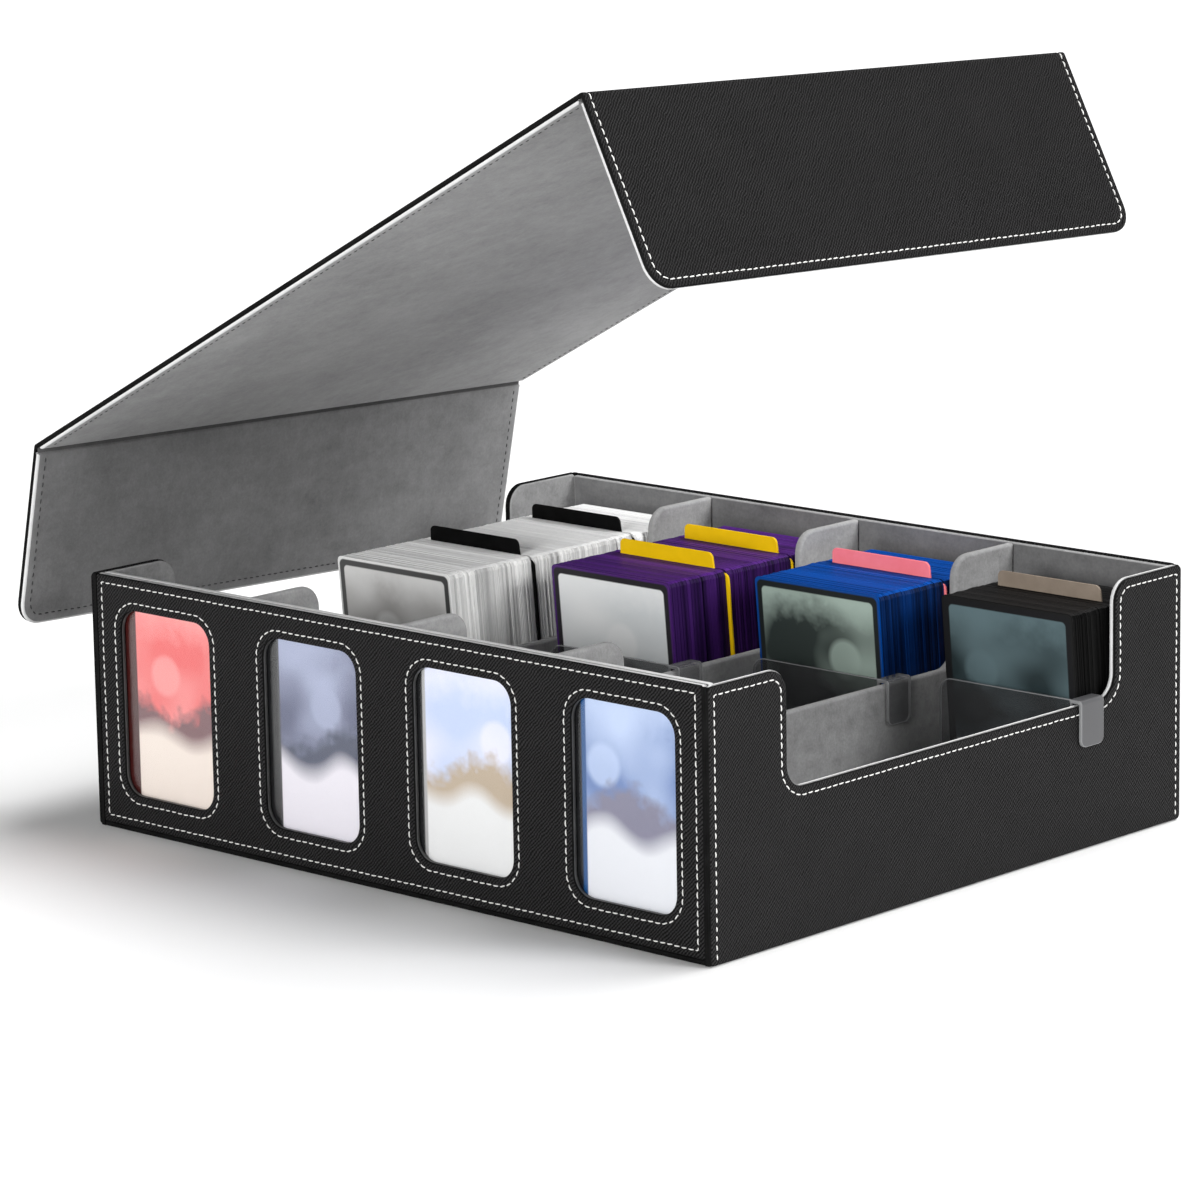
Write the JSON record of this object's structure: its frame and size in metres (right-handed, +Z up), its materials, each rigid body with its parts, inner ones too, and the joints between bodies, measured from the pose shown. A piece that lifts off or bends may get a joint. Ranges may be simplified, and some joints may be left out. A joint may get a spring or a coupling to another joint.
{
  "type": "trading card storage box",
  "caption": "Leather-covered card storage box with card columns side by side, display windows in the front wall, sliding clear stops and a loose lid with folding end flaps.",
  "frame": {"origin": "middle of the underside of the tray", "axes": "+X along the window wall from left to right seen from the front, +Y to the back wall, +Z up"},
  "size_m": [0.3748, 0.286, 0.3058],
  "materials": {
    "clear_film": "gloss",
    "clear_stop": "gloss",
    "core_board": "matte",
    "display_card_1": "satin",
    "display_card_2": "satin",
    "display_card_3": "satin",
    "display_card_4": "satin",
    "leather_black": "satin",
    "magnet": "satin",
    "sleeves_black": "satin",
    "sleeves_blue": "satin",
    "sleeves_purple": "satin",
    "sleeves_white": "satin",
    "suede_grey": "matte",
    "tab_black": "matte",
    "tab_pink": "matte",
    "tab_taupe": "matte",
    "tab_yellow": "matte"
  },
  "bodies": {
    "tray": {"back_wall_board": "leather_black", "back_wall_lining": "suede_grey", "base_board": "leather_black", "divider_1_core": "core_board", "divider_1_linings": "suede_grey", "divider_2_core": "core_board", "divider_2_linings": "suede_grey", "divider_3_core": "core_board", "divider_3_linings": "suede_grey", "floor_lining": "suede_grey", "front_inner_wall": "suede_grey", "front_panel_boards": "core_board", "front_pocket_spacers": "core_board", "front_window_panel": "leather_black", "left_wall_board": "leather_black", "left_wall_lining": "suede_grey", "left_wall_magnets": "magnet", "right_wall_board": "leather_black", "right_wall_lining": "suede_grey", "right_wall_magnets": "magnet", "window_film_1": "clear_film", "window_film_2": "clear_film", "window_film_3": "clear_film", "window_film_4": "clear_film"},
    "lid_top": {"lid_top_board": "leather_black", "lid_top_lining": "suede_grey", "left_crease": "leather_black", "right_crease": "leather_black"},
    "left_flap": {"left_flap_board": "leather_black", "left_flap_lining": "suede_grey", "left_flap_magnets": "magnet"},
    "right_flap": {"right_flap_board": "leather_black", "right_flap_lining": "suede_grey", "right_flap_magnets": "magnet"},
    "stop_1": {"clear_stop_1": "clear_stop"},
    "row_1": {"card_block_1a": "sleeves_white", "card_block_1b": "sleeves_white", "card_block_1c": "sleeves_white", "tab_divider_1a": "tab_black", "tab_divider_1b": "tab_black"},
    "display_1": {"display_card_1": "display_card_1"},
    "stop_2": {"clear_stop_2": "clear_stop"},
    "row_2": {"card_block_2a": "sleeves_purple", "card_block_2b": "sleeves_purple", "card_block_2c": "sleeves_purple", "tab_divider_2a": "tab_yellow", "tab_divider_2b": "tab_yellow"},
    "display_2": {"display_card_2": "display_card_2"},
    "stop_3": {"clear_stop_3": "clear_stop"},
    "row_3": {"card_block_3a": "sleeves_blue", "card_block_3b": "sleeves_blue", "tab_divider_3a": "tab_pink"},
    "display_3": {"display_card_3": "display_card_3"},
    "stop_4": {"clear_stop_4": "clear_stop"},
    "row_4": {"card_block_4a": "sleeves_black", "card_block_4b": "sleeves_black", "tab_divider_4a": "tab_taupe"},
    "display_4": {"display_card_4": "display_card_4"}
  },
  "joints": [
    {"name": "lid_swing", "type": "hinge", "parent": "tray", "child": "lid_top", "pos_m": [-0.259, 0, 0.0643], "axis": [-0.0638, -0.9977, 0.0235], "range_deg": [-28.2, 46.8]},
    {"name": "left_flap_fold", "type": "hinge", "parent": "lid_top", "child": "left_flap", "pos_m": [-0.19581, 0.00282, 0.14307], "axis": [-0.0036, 0.9995, -0.0329], "range_deg": [-38.01, 63.08]},
    {"name": "right_flap_fold", "type": "hinge", "parent": "lid_top", "child": "right_flap", "pos_m": [0.09712, 0.00902, 0.29963], "axis": [0.0036, -0.9995, 0.0329], "range_deg": [0, 85]},
    {"name": "stop_1_slide", "type": "slide", "parent": "tray", "child": "stop_1", "axis": [0, -1, 0], "range_m": [0, 0.066]},
    {"name": "stop_2_slide", "type": "slide", "parent": "tray", "child": "stop_2", "axis": [0, -1, 0], "range_m": [0, 0.108]},
    {"name": "stop_3_slide", "type": "slide", "parent": "tray", "child": "stop_3", "axis": [0, -1, 0], "range_m": [0, 0.14]},
    {"name": "stop_4_slide", "type": "slide", "parent": "tray", "child": "stop_4", "axis": [0, -1, 0], "range_m": [0, 0.159]},
    {"name": "row_1_lift", "type": "slide", "parent": "tray", "child": "row_1", "axis": [0, 0, 1], "range_m": [0, 0.06]},
    {"name": "row_2_lift", "type": "slide", "parent": "tray", "child": "row_2", "axis": [0, 0, 1], "range_m": [0, 0.1]},
    {"name": "row_3_lift", "type": "slide", "parent": "tray", "child": "row_3", "axis": [0, 0, 1], "range_m": [0, 0.1]},
    {"name": "row_4_lift", "type": "slide", "parent": "tray", "child": "row_4", "axis": [0, 0, 1], "range_m": [0, 0.1]},
    {"name": "display_1_lift", "type": "slide", "parent": "tray", "child": "display_1", "axis": [0, 0, 1], "range_m": [0, 0.06]},
    {"name": "display_2_lift", "type": "slide", "parent": "tray", "child": "display_2", "axis": [0, 0, 1], "range_m": [0, 0.09]},
    {"name": "display_3_lift", "type": "slide", "parent": "tray", "child": "display_3", "axis": [0, 0, 1], "range_m": [0, 0.09]},
    {"name": "display_4_lift", "type": "slide", "parent": "tray", "child": "display_4", "axis": [0, 0, 1], "range_m": [0, 0.09]}
  ],
  "couplings": [
    {"joint": "left_flap_fold", "follows": "lid_swing", "ratio": 1.3475}
  ]
}
